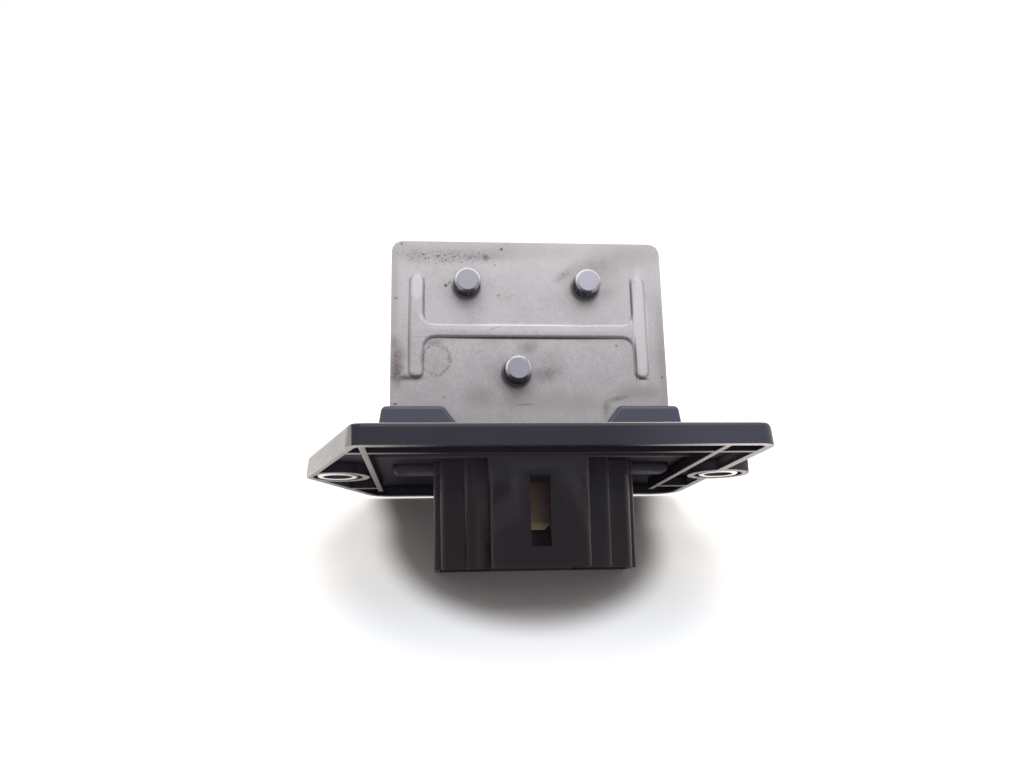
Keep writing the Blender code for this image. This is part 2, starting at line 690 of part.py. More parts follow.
def make_rivets():
    head, shank, tail = (d / 2 for d in (RIVET_HEAD_DIAMETER, RIVET_SHANK_DIAMETER, RIVET_TAIL_DIAMETER))
    under = PLATE_OUTER + CLEARANCE
    top = PLATE_OUTER + RIVET_STAND
    profile = [(0, -under - RIVET_TAIL_HEIGHT)]
    profile += [(tail * math.cos(a), -under - RIVET_TAIL_HEIGHT * math.sin(a)) for a in RIVET_TAIL_TURNS]
    profile += [(shank, -under), (shank, under), (head, under), (head, top - RIVET_CHAMFER)]
    profile += [(head - RIVET_CHAMFER, top), (0, top)]
    made = []
    for name, (x, z) in RIVETS.items():
        rivet = turned(name, profile)
        rivet.rotation_euler.x = math.radians(90)
        rivet.location = (x, 0, z)
        smooth(rivet)
        made.append(rivet)
    return made


def make_bushings():
    bore, outer, edge = BUSHING_BORE / 2, BUSHING_DIAMETER / 2, BUSHING_CHAMFER
    profile = [
        (bore + edge, 0), (outer - edge, 0), (outer, edge), (outer, FLANGE_DEPTH - edge),
        (outer - edge, FLANGE_DEPTH), (bore + edge, FLANGE_DEPTH), (bore, FLANGE_DEPTH - edge), (bore, edge),
    ]
    made = []
    for name, x in zip(("screw_bushing_left", "screw_bushing_right"), BOSSES_X):
        bushing = turned(name, profile, hollow=True)
        bushing.location = (x, 0, -FLANGE_DEPTH)
        smooth(bushing)
        made.append(bushing)
    return made


def make_terminals():
    # Each blade is where its front view and its side view meet: a chamfered tab with a joggled neck.
    blade, shoulder, neck = BLADE_WIDTH / 2, SHOULDER_WIDTH / 2, NECK_WIDTH / 2
    right = [
        (blade - BLADE_CHAMFER, BLADE_TIP_Z), (blade, BLADE_TIP_Z + BLADE_CHAMFER), (blade, SHOULDER_FOOT),
        (shoulder, SHOULDER_FOOT), (shoulder, JOGGLE_FOOT), (neck, JOGGLE_FOOT), (neck, NECK_TOP),
    ]
    front_view = [(x, z, 0) for x, z in right] + [(-x, z, 0) for x, z in reversed(right)]
    half = BLADE_THICKNESS / 2
    side_view = [
        (BLADE_BEVEL - half, BLADE_TIP_Z), (half - BLADE_BEVEL, BLADE_TIP_Z),
        (half, BLADE_TIP_Z + BLADE_CHAMFER), (half, JOGGLE_FOOT - CLEARANCE),
        (NECK_OUTER, JOGGLE_TOP - CLEARANCE), (NECK_OUTER, NECK_TOP + CUT), (NECK_INNER, NECK_TOP + CUT),
        (NECK_INNER, JOGGLE_TOP), (-half, JOGGLE_FOOT), (-half, BLADE_TIP_Z + BLADE_CHAMFER),
    ]
    made = []
    for number, x in enumerate(TERMINALS_X, start=1):
        terminal = prism(f"terminal_blade_{number}", front_view, -NECK_OUTER - CUT, NECK_OUTER + CUT, "XZ")
        profile = [(y, z, 0) for y, z in side_view]
        keep_common(terminal, prism("side_view", profile, -shoulder - CUT, shoulder + CUT, "YZ"))
        terminal.location.x = x
        made.append(terminal)
    return made


def make_fuse():
    radius, lead, edge = FUSE_DIAMETER / 2, FUSE_LEAD_DIAMETER / 2 + CLEARANCE, FUSE_ROUND
    end = FUSE_LENGTH - FUSE_LEAD_ENTRY
    profile = [
        (0, FUSE_LEAD_ENTRY), (lead, FUSE_LEAD_ENTRY), (lead, 0), (radius - edge, 0), (radius, edge),
        (radius, FUSE_LENGTH - edge), (radius - edge, FUSE_LENGTH), (lead, FUSE_LENGTH), (lead, end),
        (0, end),
    ]
    fuse = turned("thermal_fuse", profile)
    fuse.location = (FUSE_X, FUSE_Y, FUSE_FOOT)
    smooth(fuse)
    return fuse


def bent_path(corners):
    # Rounds each inner corner (point, bend radius) of a path in space with a short arc.
    points = [Vector(corners[0][0])]
    for (before, _), (here, radius), (after, _) in zip(corners, corners[1:], corners[2:]):
        here = Vector(here)
        way_in = (here - Vector(before)).normalized()
        way_out = (Vector(after) - here).normalized()
        axis = way_in.cross(way_out).normalized()
        turn = way_in.angle(way_out)
        start = here - way_in * radius * math.tan(turn / 2)
        centre = start + axis.cross(way_in) * radius
        for step in range(BEND_STEPS + 1):
            points.append(centre + Matrix.Rotation(turn * step / BEND_STEPS, 3, axis) @ (start - centre))
    return points + [Vector(corners[-1][0])]


def wire(name, corners, diameter):
    curve = bpy.data.curves.new(name, "CURVE")
    curve.dimensions = "3D"
    curve.bevel_depth = diameter / 2
    curve.bevel_resolution = 2
    curve.use_fill_caps = True
    points = bent_path(corners)
    spline = curve.splines.new("POLY")
    spline.points.add(len(points) - 1)
    for place, point in zip(points, spline.points):
        point.co = (*place, 1)
    return new_object(name, curve)


def make_fuse_leads():
    low_entry = FUSE_FOOT + FUSE_LEAD_ENTRY - CLEARANCE
    high_entry = FUSE_FOOT + FUSE_LENGTH - FUSE_LEAD_ENTRY + CLEARANCE
    loop = FUSE_FOOT + FUSE_LENGTH + FUSE_LOOP_RISE
    back = TERMINALS_X[-1]
    tab_end = STRIP_THICKNESS / 2 + CLEARANCE
    to_tab = wire("fuse_lead_to_grid", [
        ((FUSE_X, FUSE_Y, low_entry), 0),
        ((FUSE_X, FUSE_Y, LEAD_Z), LEAD_BEND),
        ((FUSE_X, tab_end, LEAD_Z), 0),
    ], FUSE_LEAD_DIAMETER)
    to_blade = wire("fuse_lead_to_terminal", [
        ((FUSE_X, FUSE_Y, high_entry), 0),
        ((FUSE_X, FUSE_Y, loop), FUSE_LOOP_BEND),
        ((back, FUSE_Y, loop), FUSE_LOOP_BEND),
        ((back, FUSE_Y, LEAD_Z), LEAD_BEND),
        ((back, NECK_OUTER + CLEARANCE, LEAD_Z), 0),
    ], FUSE_LEAD_DIAMETER)
    return to_tab, to_blade


def main():
    for old in list(bpy.data.objects):
        bpy.data.objects.remove(old)
    plastic = material("black_moulding", (0.022, 0.023, 0.027), 0.5)
    aluminium = material("plate_aluminium", (0.62, 0.60, 0.58), 0.42, 1.0)
    mica = material("mica", (0.62, 0.55, 0.42), 0.6)
    alloy = material("grid_alloy", (0.45, 0.43, 0.41), 0.4, 1.0)
    steel = material("rivet_steel", (0.42, 0.45, 0.50), 0.38, 1.0)
    bushing_steel = material("bushing_steel", (0.68, 0.68, 0.68), 0.35, 1.0)
    brass = material("brass", (0.66, 0.50, 0.24), 0.35, 1.0)
    fuse_case = material("fuse_case", (0.70, 0.66, 0.58), 0.35, 1.0)
    tinned = material("tinned_lead", (0.60, 0.60, 0.60), 0.35, 1.0)
    groups = [
        ([make_base()], plastic),
        (make_plates(), aluminium),
        (make_mica(), mica),
        ([make_grid()], alloy),
        (make_rivets(), steel),
        (make_bushings(), bushing_steel),
        (make_terminals(), brass),
        ([make_fuse()], fuse_case),
        (make_fuse_leads(), tinned),
    ]
    frame = new_object("blower_motor_resistor", None)
    for pieces, finish in groups:
        for piece in pieces:
            piece.data.materials.clear()
            piece.data.materials.append(finish)
            piece.parent = frame


main()
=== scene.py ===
import json
import math

import bmesh
import bpy
from mathutils import Matrix, Vector

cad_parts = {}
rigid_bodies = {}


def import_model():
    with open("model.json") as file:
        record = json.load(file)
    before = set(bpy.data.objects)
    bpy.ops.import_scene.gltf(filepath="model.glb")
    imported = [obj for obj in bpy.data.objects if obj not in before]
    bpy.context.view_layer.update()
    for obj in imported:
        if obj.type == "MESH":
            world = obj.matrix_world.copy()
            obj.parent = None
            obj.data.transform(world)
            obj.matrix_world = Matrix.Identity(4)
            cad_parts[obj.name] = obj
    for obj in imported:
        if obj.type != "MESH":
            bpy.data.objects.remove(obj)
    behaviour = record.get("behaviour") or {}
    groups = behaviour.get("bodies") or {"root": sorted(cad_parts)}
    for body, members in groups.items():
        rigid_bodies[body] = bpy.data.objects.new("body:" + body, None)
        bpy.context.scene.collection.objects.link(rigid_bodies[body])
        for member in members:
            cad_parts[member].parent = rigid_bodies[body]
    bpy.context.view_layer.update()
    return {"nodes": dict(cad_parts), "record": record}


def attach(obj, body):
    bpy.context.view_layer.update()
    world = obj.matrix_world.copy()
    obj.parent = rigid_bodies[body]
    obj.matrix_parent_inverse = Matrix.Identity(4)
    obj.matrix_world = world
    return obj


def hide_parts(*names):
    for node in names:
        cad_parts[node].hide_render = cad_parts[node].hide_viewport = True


mm = 0.001
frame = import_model()


# Shader maths

class Field:
    # one socket of a node tree, with the operators that add its Math nodes
    def __init__(self, tree, socket):
        self.tree = tree
        self.socket = socket

    def math(self, operation, *values):
        return self.tree.node("ShaderNodeMath", {"operation": operation}, *values)

    def __add__(self, other):
        return self.math("ADD", self, other)

    def __radd__(self, other):
        return self.math("ADD", other, self)

    def __sub__(self, other):
        return self.math("SUBTRACT", self, other)

    def __rsub__(self, other):
        return self.math("SUBTRACT", other, self)

    def __mul__(self, other):
        return self.math("MULTIPLY", self, other)

    def __rmul__(self, other):
        return self.math("MULTIPLY", other, self)

    def __truediv__(self, other):
        return self.math("DIVIDE", self, other)

    def __pow__(self, other):
        return self.math("POWER", self, other)

    def smaller(self, other):
        return self.math("MINIMUM", self, other)

    def larger(self, other):
        return self.math("MAXIMUM", self, other)

    def ramp(self, low, high):
        # a smooth step from 0 at low to 1 at high, where high may be the smaller
        settings = {"interpolation_type": "SMOOTHSTEP"}
        return self.tree.node("ShaderNodeMapRange", settings, self, low, high)

    def over(self, reach):
        # the same from one place to another, in millimetres
        return self.ramp(reach[0] * mm, reach[1] * mm)


class Tree:
    # a material's node tree and its Principled shader
    def __init__(self, name):
        self.material = bpy.data.materials.new(name)
        self.material.use_nodes = True
        self.nodes = self.material.node_tree.nodes
        self.links = self.material.node_tree.links
        self.shader = self.nodes["Principled BSDF"]
        self.place = self.node("ShaderNodeTexCoord", {}, out="Object")

    def node(self, kind, settings, *values, out=0, **named):
        made = self.nodes.new(kind)
        for key, value in settings.items():
            setattr(made, key, value)
        for key, value in list(enumerate(values)) + list(named.items()):
            self.feed(made.inputs[key], value)
        return Field(self, made.outputs[out])

    def feed(self, socket, value):
        if isinstance(value, Field):
            self.links.new(value.socket, socket)
        elif value is not None:
            socket.default_value = value

    def set(self, **sockets):
        for name, value in sockets.items():
            self.feed(self.shader.inputs[name.replace("_", " ")], value)

    def stretched(self, stretch):
        return self.node("ShaderNodeMapping", {}, self.place, Scale=stretch)

    def noise(self, grain, detail=3.0, rough=0.5, at=None):
        # grain is the size of the pattern in metres
        at = at or self.place
        return self.node("ShaderNodeTexNoise", {}, Vector=at, Scale=1 / grain, Detail=detail,
                         Roughness=rough)

    def axes(self, at=None):
        split = self.nodes.new("ShaderNodeSeparateXYZ")
        self.feed(split.inputs[0], at or self.place)
        return [Field(self, split.outputs[i]) for i in range(3)]

    def colour(self, factor, first, last):
        # first where the factor is 0, last where it is 1
        made = self.nodes.new("ShaderNodeMix")
        made.data_type = "RGBA"
        self.feed(made.inputs["Factor"], factor)
        for socket, value in zip(("A", "B"), (first, last)):
            places = [s for s in made.inputs if s.name == socket and s.type == "RGBA"]
            self.feed(places[0], value if isinstance(value, Field) else (*value, 1))
        return Field(self, [s for s in made.outputs if s.type == "RGBA"][0])

    def bump(self, height, distance, strength):
        return self.node("ShaderNodeBump", {}, Height=height, Distance=distance, Strength=strength)

    def spot(self, x, z, wide, high, turn=0.0, edge=0.5, wobble=None):
        # a soft ellipse seen from the front, in millimetres and degrees: 1 inside, 0 outside
        at = self.node("ShaderNodeMapping", {"vector_type": "TEXTURE"}, self.place,
                       (x * mm, 0, z * mm), (0, math.radians(-turn), 0), (wide * mm, 1, high * mm))
        distance = self.node("ShaderNodeVectorMath", {"operation": "LENGTH"}, at, out="Value")
        if wobble is not None:
            distance = distance + wobble
        return distance.ramp(1 + edge, 1 - edge)

    def spots(self, places, edge=0.5, wobble=None):
        # the strongest of many spots, each given as (x, z, wide, high, turn, strength)
        found = None
        for *place, strength in places:
            one = self.spot(*place, edge, wobble) * strength
            found = one if found is None else found.larger(one)
        return found


print("shader tools ready")


# Pieces that stand for the CAD nodes

# edge is the width of the easing in millimetres, angle the least bend that is eased,
# and head the middle of a rivet's pressed head
easing = {
    "baseHousing": dict(node="base_housing"),
    "frontHeatPlate": dict(node="heat_plate_front", edge=0.06, angle=40),
    "rearHeatPlate": dict(node="heat_plate_rear", edge=0.10, angle=40),
    "upperLeftRivet": dict(node="rivet_upper_left", edge=0.06, angle=30, head=(-11.2, 31.5)),
    "upperRightRivet": dict(node="rivet_upper_right", edge=0.06, angle=30, head=(10.8, 31.5)),
    "lowerRivet": dict(node="rivet_lower", edge=0.06, angle=30, head=(-2.3, 15.0)),
    "leftBushing": dict(node="screw_bushing_left", edge=0.05, angle=30),
    "rightBushing": dict(node="screw_bushing_right", edge=0.05, angle=30),
}

# an edge is eased where the edges that it meets are this many times as long as the easing
easingRoom = 2.2

# degrees and metres: how a copy's triangles are merged, and which of its edges look sharp
merging = {"distance": 0.000001, "flat": 0.6, "sharp": 35}

# the pressed heads, before this y, look a little wider in the photo than in the CAD
pressing = {"before": -2.3, "wider": 1.08}


def pickOnly(piece):
    bpy.ops.object.select_all(action="DESELECT")
    piece.select_set(True)
    bpy.context.view_layer.objects.active = piece


def widenHead(piece, x, z):
    bpy.ops.mesh.select_mode(type="VERT")
    bpy.ops.mesh.select_all(action="DESELECT")
    bpy.ops.object.mode_set(mode="OBJECT")
    for point in piece.data.vertices:
        point.select = point.co.y < pressing["before"] * mm
    bpy.ops.object.mode_set(mode="EDIT")
    wider = pressing["wider"]
    middle = (x * mm, 0, z * mm)
    bpy.ops.transform.resize(value=(wider, 1, wider), center_override=middle)


def easeEdges(piece, edge, angle):
    # two-step rounds on the sharp edges that have room for them
    shape = bmesh.new()
    shape.from_mesh(piece.data)
    weight = shape.edges.layers.float.new("bevel_weight_edge")
    for side in shape.edges:
        bend = math.degrees(side.calc_face_angle(0))
        room = min(near.calc_length() for end in side.verts for near in end.link_edges)
        side[weight] = float(bend > angle and room > easingRoom * edge * mm)
    shape.to_mesh(piece.data)
    shape.free()
    bevel = piece.modifiers.new("eased", "BEVEL")
    bevel.width = edge * mm
    bevel.segments = 2
    bevel.limit_method = "WEIGHT"
    bevel.use_clamp_overlap = False
    bpy.ops.object.modifier_apply(modifier=bevel.name)


def easedCopy(name, node, edge=0, angle=0, head=None):
    # the CAD node's loose triangles, copied and merged into faces
    pickOnly(frame["nodes"][node])
    bpy.ops.object.duplicate()
    piece = bpy.context.active_object
    piece.name = name
    bpy.ops.object.parent_clear(type="CLEAR_KEEP_TRANSFORM")
    bpy.ops.object.mode_set(mode="EDIT")
    bpy.ops.mesh.select_all(action="SELECT")
    bpy.ops.mesh.remove_doubles(threshold=merging["distance"])
    bpy.ops.mesh.dissolve_limited(angle_limit=math.radians(merging["flat"]))
    if head:
        widenHead(piece, *head)
    bpy.ops.object.mode_set(mode="OBJECT")
    if edge:
        easeEdges(piece, edge, angle)
    bpy.ops.object.shade_smooth_by_angle(angle=math.radians(merging["sharp"]))
    flat = piece.modifiers.new("flatFaces", "WEIGHTED_NORMAL")
    flat.weight = 100
    flat.keep_sharp = True
    bpy.ops.object.modifier_apply(modifier=flat.name)
    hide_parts(node)
    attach(piece, "root")
    return piece


pieces = {name: easedCopy(name, **facts) for name, facts in easing.items()}
slots = {sub["node"]: sub["material_slot"] for sub in frame["record"]["subparts"]}
print("eased pieces made:", len(pieces))


# Looks

moulding = {
    # after the plain colour: the bluer tone paints a reflection of the sky on the front, the next
    # paints sheen and fill light besides dust, the two pale ones paint highlights and reflections,
    # the darkest paints shade under the web and the last paints light inside the socket
    "colour": (0.0138, 0.0045, 0.0120), "cool": (0.0145, 0.0112, 0.0212),
    "dustAndLightTone": (0.168, 0.178, 0.245), "glintColour": (0.51, 0.475, 0.435), "glare": (0.96, 0.95, 0.93),
    "deep": (0.003, 0.0015, 0.003), "litCavity": (0.06, 0.042, 0.06),
    "roughness": 0.27, "specular": 0.23,
    # the slanted wall: where its line crosses x, the way it faces and how far out its face is
    "wallX": -33.85, "wallWay": (-0.9495, -0.3137), "wallFace": 5.45,
    # each front corner of the socket: its distance from the middle, its face and how bright its
    # painted highlight is
    "corners": [(16.05, -6.45, 0.22), (12.15, -8.85, 0.075), (8.15, -12.4, 0.085)],
}

# places on the moulding in millimetres, each from where it has none of a look to where it has all
zone = {
    # along y: the rim's front, the clasps' and the socket's faces, and the flange's back end
    "front": (-29.4, -29.8), "edgeFront": (-30.1, -30.3), "socketFront": (-23, -21),
    "cavityFront": (-11.8, -11.2), "earFront": (-3.3, -3.8), "backFoot": (24, 27),
    # along z, from the socket up through the flange to the clasps
    "socketTop": (-12, -5), "hollowFoot": (-7, -5), "cavityTop": (-5, -6), "rimFoot": (-4.2, -3.7),
    "socketSide": (-3.7, -5), "footFace": (-3.35, -3.48), "web": (-2.0, -1.7),
    "webUnder": (-1.7, -2.1), "hollowTop": (-0.8, -1.4), "rimTop": (-0.1, -0.3),
    "edgeFoot": (-0.32, -0.12), "edgeTop": (0.2, 0.1), "ear": (-1, 3.5),
    # along x
    "hollowRight": (2, 22), "webRight": (5, 20), "socketRight": (8, 9), "rimRight": (6, 24),
    "rimLeft": (-6, -20), "middle": (-4, 4), "glareRight": (0, 30), "glareLeft": (-26, -29),
    # from the middle to either side
    "outerFoot": (14, 30), "cavitySide": (7.4, 7),
    # out of the slanted wall's face
    "wall": (-0.7, -0.5),
}


def cornerGlints(side, y, z, right):
    # painted highlights on the socket's rounded front corners, stronger on the right
    highlit = 0
    for reach, face, strength in moulding["corners"]:
        near = side.over((reach - 1.2, reach + 0.05)) ** (2.4 - right)
        near = near * side.over((reach + 0.35, reach + 0.15))
        near = near * y.over((face + 0.5, face + 0.15)) * z.over(zone["socketSide"])
        highlit = (near * strength * (0.75 + right * 0.45)).larger(highlit)
    return highlit


def mouldingLook():
    tree = Tree("blackMoulding")
    x, y, z = tree.axes()
    side = x.math("ABSOLUTE", x)
    broad = tree.noise(9 * mm, 2)
    fine = tree.noise(0.35 * mm, 3, 0.6)
    specks = tree.noise(0.9 * mm, 2).ramp(0.66, 0.74)
    # places on the flange: its front edge, its slanted front wall and the hollow under its web
    front = y.over(zone["front"])
    wayX, wayY = moulding["wallWay"]
    out = (x - moulding["wallX"] * mm) * wayX + y * wayY
    slanted = (out - moulding["wallFace"] * mm).over(zone["wall"])
    below = z.over(zone["rimTop"]) * z.over(zone["rimFoot"])
    inside = z.over(zone["hollowFoot"]) * z.over(zone["hollowTop"]) * (1 - front.larger(slanted))
    # painted fill light: lighter in the hollow under the web, less to the right, and on the faces
    # under the flange, more at the socket's right
    hollow = inside * (0.1 - x.over(zone["hollowRight"]) * 0.07)
    under = z.over(zone["socketTop"]) * z.over(zone["webUnder"])
    shaded = under * y.over(zone["socketFront"]) * 0.1
    shaded = shaded + x.over(zone["socketRight"]) * z.over(zone["socketSide"]) * 0.04
    # dust on the ears, and painted sheen where the ears and the rim face the front, most at the
    # rim's right
    above = z.over(zone["ear"]) * (0.15 + y.over(zone["earFront"]) * 0.63)
    facing = front * (0.088 + x.over(zone["rimRight"]) * 0.30 + x.over(zone["rimLeft"]) * 0.035)
    dustAndPaintedLight = broad.ramp(0.35, 0.7) * 0.02 + specks * 0.03
    dustAndPaintedLight = dustAndPaintedLight + above.larger(facing).larger(hollow + shaded)
    # the front's bluer base is a painted reflection of the sky
    base = tree.colour(front, moulding["colour"], moulding["cool"])
    base = tree.colour(dustAndPaintedLight, base, moulding["dustAndLightTone"])
    # painted shade: the web's underside, more to the right, darkened towards black
    web = inside * z.over(zone["web"]) * x.over(zone["webRight"])
    base = tree.colour(web * 0.75, base, moulding["deep"])
    # painted highlights and reflections on the outer feet, the slanted wall, the front's top edge
    # and the socket's front corners
    back = y.over(zone["backFoot"])
    outer = side.over(zone["outerFoot"]).larger(back)
    feet = z.over(zone["footFace"]) * z.over(zone["rimFoot"]) * outer * 0.9
    topEdge = z.over(zone["edgeFoot"]) * z.over(zone["edgeTop"]) * y.over(zone["edgeFront"])
    paintedGlints = feet.larger(slanted * below * 0.59).larger(topEdge) * (0.75 + fine * 0.5)
    paintedGlints = paintedGlints.larger(cornerGlints(side, y, z, x.over(zone["middle"])))
    glared = x.over(zone["glareRight"]).larger(x.over(zone["glareLeft"]) * 0.6).larger(back)
    glintColour = tree.colour(glared, moulding["glintColour"], moulding["glare"])
    # painted light: the inside of the socket, seen through its window, is paler than the rest
    litCavity = side.over(zone["cavitySide"]) * y.over(zone["cavityFront"]) * z.over(zone["cavityTop"])
    base = tree.colour(litCavity, base, moulding["litCavity"])
    tree.set(Base_Color=tree.colour(paintedGlints, base, glintColour))
    uneven = (broad - 0.5) * 0.12 + (fine - 0.5) * 0.10 + inside * 0.3
    tree.set(Roughness=moulding["roughness"] + uneven, Specular_IOR_Level=moulding["specular"])
    tree.set(Normal=tree.bump(fine, 0.02 * mm, 0.4))
    return tree.material


# marks on the front plate, each as x, z, half width, half height, turn and, in a list, strength
plate = {
    "colour": (0.605, 0.577, 0.605), "dull": (0.46, 0.435, 0.455), "grimeAndShade": (0.06, 0.048, 0.052),
    "darker": (30, 4), "brown": (0.31, 0.265, 0.225), "rose": (0.36, 0.30, 0.32),
    "lighter": (0.79, 0.755, 0.79),
    "specks": [
        (-15.1, 31.3, 0.30, 0.32, 20, 0.8), (-14.4, 31.9, 0.4, 0.25, 40, 0.45),
        (-24.1, 28.8, 0.28, 0.22, 0, 0.6),
        (-4.8, 38.6, 0.28, 0.25, 0, 0.75), (-5.5, 29.5, 0.28, 0.2, 20, 0.45),
        (-23.2, 39.4, 0.25, 0.22, 0, 0.6),
        (-6.1, 35.4, 0.22, 0.2, 0, 0.45), (16.0, 20.0, 0.26, 0.17, 30, 0.7),
        (-24.0, 9.1, 0.35, 0.2, 0, 0.7),
        (-15.5, 10.3, 0.2, 0.2, 0, 0.5), (24.1, 14.0, 0.2, 0.22, 0, 0.6),
        (-19.0, 31.2, 0.2, 0.25, 0, 0.5),
        (-1.0, 9.0, 1.5, 0.11, 3, 0.45), (-6.4, 23.0, 1.6, 0.09, 18, 0.3),
        (-8.8, 18.9, 1.2, 0.1, 25, 0.25),
    ],
    "smears": [
        (-23.9, 15.2, 0.9, 2.1, 4, 0.75), (-22.2, 13.9, 2.6, 0.5, 0, 0.95),
        (-23.8, 17.9, 1.0, 1.2, 0, 0.5),
        (-24.3, 20.3, 0.6, 1.2, 0, 0.4), (-17.2, 20.4, 1.5, 0.5, 8, 0.45),
        (6.6, 33.5, 1.7, 0.6, 38, 0.4),
        (-0.2, 19.6, 1.6, 1.1, 10, 0.45), (2.9, 14.7, 2.8, 1.4, 12, 0.48),
        (3.6, 17.3, 2.2, 1.4, 40, 0.22),
        (13.6, 8.4, 0.5, 1.5, -12, 0.5), (15.6, 10.0, 1.8, 0.35, 14, 0.55),
        (13.0, 35.6, 3.4, 1.8, 10, 0.24),
        (-9.0, 10.4, 2.6, 1.6, 0, 0.28), (-20.5, 36.9, 2.2, 1.2, 0, 0.25),
        (14.6, 30.0, 1.6, 1.2, 20, 0.2),
        (-11.6, 30.4, 3.0, 2.6, 0, 0.22), (10.4, 30.4, 3.0, 2.6, 0, 0.25),
        (-2.8, 14.0, 3.4, 2.9, 0, 0.35),
        (-7.9, 36.9, 0.8, 0.7, 0, 0.6), (-10.4, 37.0, 2.2, 0.45, 0, 0.45),
        (-13.0, 37.0, 6.5, 1.0, 0, 0.25), (-12.5, 22.2, 4.0, 0.5, 0, 0.15),
    ],
    # dark rings round the rivets' feet, partly smudges and partly painted shade
    "seats": [
        (-11.4, 31.1, 2.65, 2.6, 0, 0.7), (10.55, 31.05, 2.7, 2.65, 0, 0.7),
        (-2.55, 14.6, 2.8, 2.75, 0, 0.75),
    ],
    # painted shade in the bead's lower crease and along its legs' edges
    "creases": [
        (-19.05, 28.4, 0.11, 4.3, 0, 0.55), (19.15, 28.6, 0.16, 4.3, 0, 0.6),
        (19.4, 17.2, 0.16, 3.6, 0, 0.6),
        (0.0, 21.3, 17.4, 0.16, 0, 0.8), (-21.85, 20.0, 0.1, 8.0, 0, 0.4),
        (20.7, 13.72, 1.0, 0.2, 0, 0.65),
        (-20.3, 13.75, 1.0, 0.2, 0, 0.5),
    ],
    # painted highlights along the bead's top edge, its fillets and the left leg's top, and painted
    # light on the bead's bar and right leg
    "paintedLight": [
        (0.0, 23.72, 18.0, 0.24, 0, 1.0), (0.0, 23.1, 18.5, 0.8, 0, 0.3),
        (20.65, 23.4, 1.35, 10.2, 0, 0.6),
        (-20.35, 31.0, 1.2, 2.4, 0, 0.6), (-19.3, 24.6, 0.3, 1.2, 35, 0.6),
        (19.4, 24.5, 0.3, 1.0, -35, 0.6),
    ],
    "tinted": [
        (-7.7, 37.0, 0.55, 0.42, 0, 0.9), (19.5, 11.2, 4.0, 1.3, 4, 0.5),
        (24.4, 17.0, 0.9, 8.5, 0, 0.45),
        (24.8, 11.6, 0.3, 0.4, 0, 0.8), (-23.9, 17.2, 1.1, 3.4, 0, 0.5),
        (-9.5, 38.2, 16.0, 1.5, 0, 0.3),
        (19.5, 38.0, 6.0, 2.0, 0, 0.35), (3.5, 9.5, 9.0, 1.6, 0, 0.28),
        (12.5, 33.5, 4.5, 3.2, 0, 0.25),
        (-24.5, 30.0, 0.8, 9.0, 0, 0.35),
    ],
    "band": (-14.0, 36.9, 8.4, 1.15, 0), "ring": (-16.9, 17.2, 2.75, 3.1, 0),
    "ringInner": (-16.9, 17.2, 2.25, 2.6, 0),
}


def plateLook(name, front):
    tree = Tree(name)
    _, _, z = tree.axes()
    grain = tree.noise(0.22 * mm, 4, 0.7)
    rolled = tree.noise(0.5 * mm, 3, 0.6, at=tree.stretched((0.15, 1, 2)))
    cloud = tree.noise(5 * mm, 4, 0.6)
    blotch = tree.noise(1.1 * mm, 4, 0.65)
    worn = cloud.ramp(0.35, 0.75) * 0.4 + (grain - 0.5) * 3.0 + (blotch - 0.5) * 1.3
    worn = worn + z.over(plate["darker"]) * 0.75
    base = tree.colour(worn, plate["colour"], plate["dull"])
    specks = tree.noise(0.33 * mm, 2, 0.5)
    marksAndShade = specks.ramp(0.68, 0.78) * tree.noise(4 * mm, 2).ramp(0.4, 0.7) * 0.5
    if front:
        ragged = (blotch - 0.5) * 1.2
        mottle = (grain * 0.7 + specks * 0.5).ramp(0.35, 0.85)
        # painted highlights and painted light on the bead, in the lightest colour
        paintedLight = tree.spots(plate["paintedLight"], 0.3, (grain - 0.5) * 0.5)
        base = tree.colour(paintedLight, base, plate["lighter"])
        base = tree.colour(tree.spots(plate["tinted"], 0.9, ragged), base, plate["brown"])
        ring = tree.spot(*plate["ring"], 0.12, ragged * 0.5)
        inner = tree.spot(*plate["ringInner"], 0.15, ragged * 0.5)
        base = tree.colour(ring * (0.15 + blotch.ramp(0.4, 0.7) * 0.3), base, plate["rose"])
        outline = ring * (1 - inner) * specks.ramp(0.4, 0.6) * 0.5
        peppered = tree.spot(*plate["band"], 0.8, ragged) * specks.ramp(0.54, 0.67) * 0.85
        smeared = tree.spots(plate["smears"], 0.95, ragged * 0.8) * (0.35 + mottle * 0.75)
        dark = tree.spots(plate["specks"], 0.5, ragged) * (0.55 + grain * 0.8)
        # painted shade in the creases, and dark rings round the rivets' feet that are partly
        # painted shade
        crease = tree.spots(plate["creases"], 0.4)
        seat = tree.spots(plate["seats"], 0.16, ragged * 0.15)
        for mark in (peppered, dark, smeared, outline, crease, seat):
            marksAndShade = marksAndShade.larger(mark)
    # dirt and the painted shade of the creases and round the rivets' feet share one dark colour
    base = tree.colour(marksAndShade, base, plate["grimeAndShade"])
    tree.set(Base_Color=base, Metallic=0.3)
    tree.set(Roughness=0.5 + (grain - 0.5) * 0.3 + (cloud - 0.5) * 0.2 + marksAndShade * 0.3)
    tree.set(Normal=tree.bump(grain * 0.7 + rolled * 0.3, 0.02 * mm, 0.6))
    return tree.material


rivet = {
    "face": (0.35, 0.343, 0.398), "dull": (0.262, 0.252, 0.292), "side": (0.20, 0.195, 0.205),
    # the near-white colour is the painted highlight on the chamfers
    "edge": (0.97, 0.97, 0.99),
    # in millimetres along y: from the side to the chamfer, on to the flat face, and to the tail
    "chamfer": (-4.66, -4.76), "flat": (-5.05, -5.1), "tail": (1, 1.5),
    # along z: the heads' middles, the step between them and the one up each head's chamfer
    "lowerZ": 15.0, "upperZ": 31.5, "between": (23, 23.5), "highlit": (-1.3, 1.2),
    # from the darker heads, at the left and below, to the lighter one
    "right": (-12, 12), "upper": (12, 32),
}


